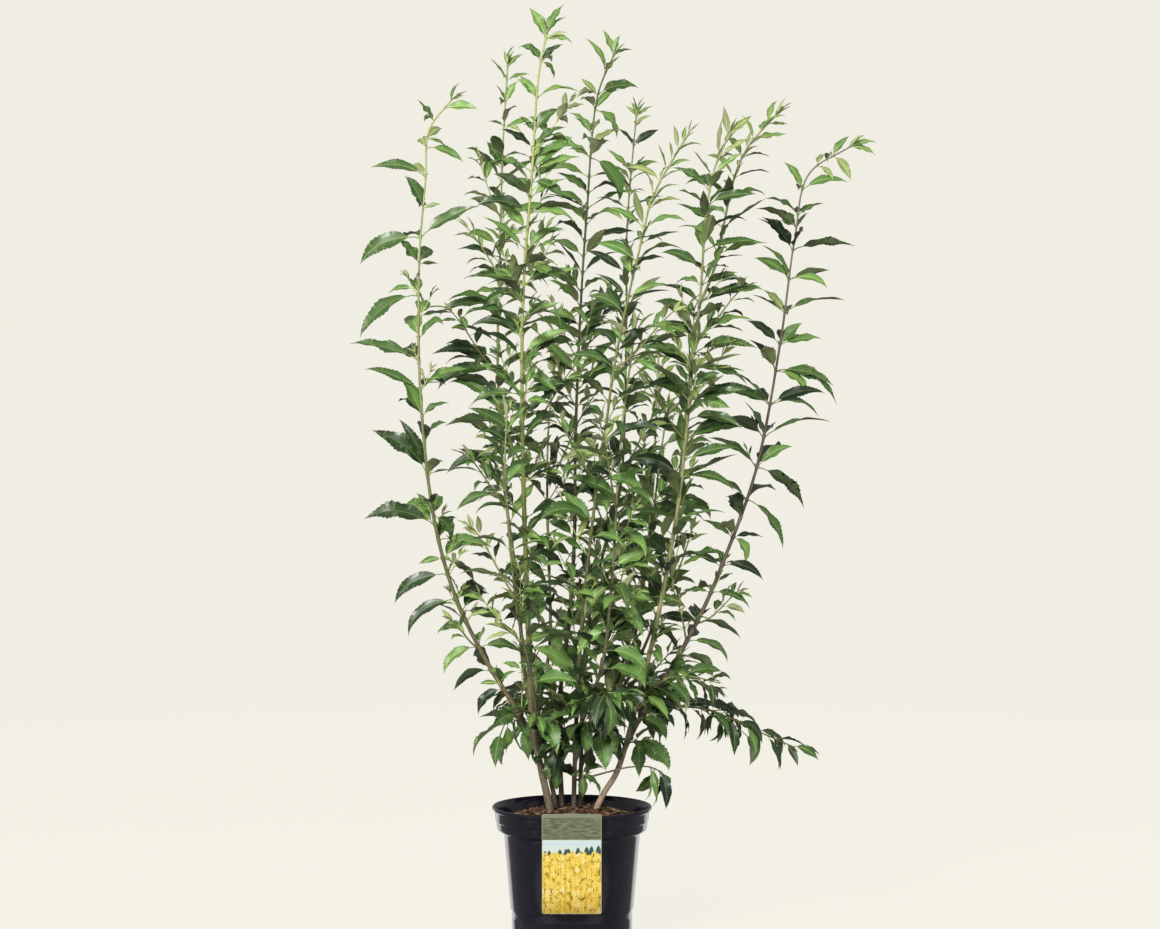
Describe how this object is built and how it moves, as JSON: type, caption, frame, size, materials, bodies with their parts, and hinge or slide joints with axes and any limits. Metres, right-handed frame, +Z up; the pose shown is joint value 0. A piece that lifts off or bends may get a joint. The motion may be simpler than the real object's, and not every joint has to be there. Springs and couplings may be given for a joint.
{
  "type": "potted forsythia shrub",
  "caption": "Young multi-stemmed forsythia in summer leaf: slender upright canes with paired toothed leaves, rising from potting mix in a tapered black nursery pot with a hang label.",
  "frame": {"origin": "centre of the flat underside of the pot", "axes": "+Z up along the plant, -Y towards the front where the hang label is, +X to the right seen from the front"},
  "size_m": [0.9049, 0.6865, 1.6296],
  "materials": {
    "pot": "satin",
    "potting_mix": "matte",
    "hang_label": "satin",
    "stems": "matte",
    "foliage": "satin"
  },
  "bodies": {
    "root": {"pot": "pot", "potting_mix": "potting_mix", "hang_label": "hang_label", "cane_front_left": "stems", "cane_back_left": "stems", "cane_centre": "stems", "cane_front_centre": "stems", "cane_back_centre": "stems", "cane_right": "stems", "cane_left": "stems", "cane_far_right": "stems", "cane_back_right": "stems", "inner_cane_right": "stems", "inner_cane_front": "stems", "inner_cane_back": "stems", "inner_cane_front_left": "stems", "inner_cane_back_right": "stems", "inner_cane_middle": "stems", "low_branch_right_upper": "stems", "low_branch_right_lower": "stems", "low_branch_base": "stems", "low_branch_front_left": "stems", "low_branch_front": "stems", "low_branch_back_left": "stems", "low_branch_back_right": "stems", "foliage_front_left_middle": "foliage", "foliage_right_middle": "foliage", "foliage_front_middle": "foliage", "foliage_left_top": "foliage", "foliage_left_middle": "foliage", "foliage_left_low": "foliage", "foliage_front_left_top": "foliage", "foliage_centre_top": "foliage", "foliage_front_centre_top": "foliage", "foliage_right_top": "foliage", "foliage_back_left_top": "foliage", "foliage_back_centre_top": "foliage", "foliage_back_right_top": "foliage", "foliage_far_right_top": "foliage", "foliage_far_right_middle": "foliage", "foliage_far_right_low": "foliage", "foliage_centre_middle": "foliage", "foliage_back_left_middle": "foliage", "foliage_back_middle": "foliage", "foliage_back_right_middle": "foliage", "foliage_inner_right_middle": "foliage", "foliage_front_left_low": "foliage", "foliage_front_low": "foliage", "foliage_right_low": "foliage", "foliage_back_low": "foliage", "foliage_back_right_low": "foliage", "foliage_left_hanging": "foliage", "foliage_low_branch_upper": "foliage", "foliage_low_branch_lower": "foliage", "foliage_base_tuft": "foliage"}
  },
  "joints": []
}
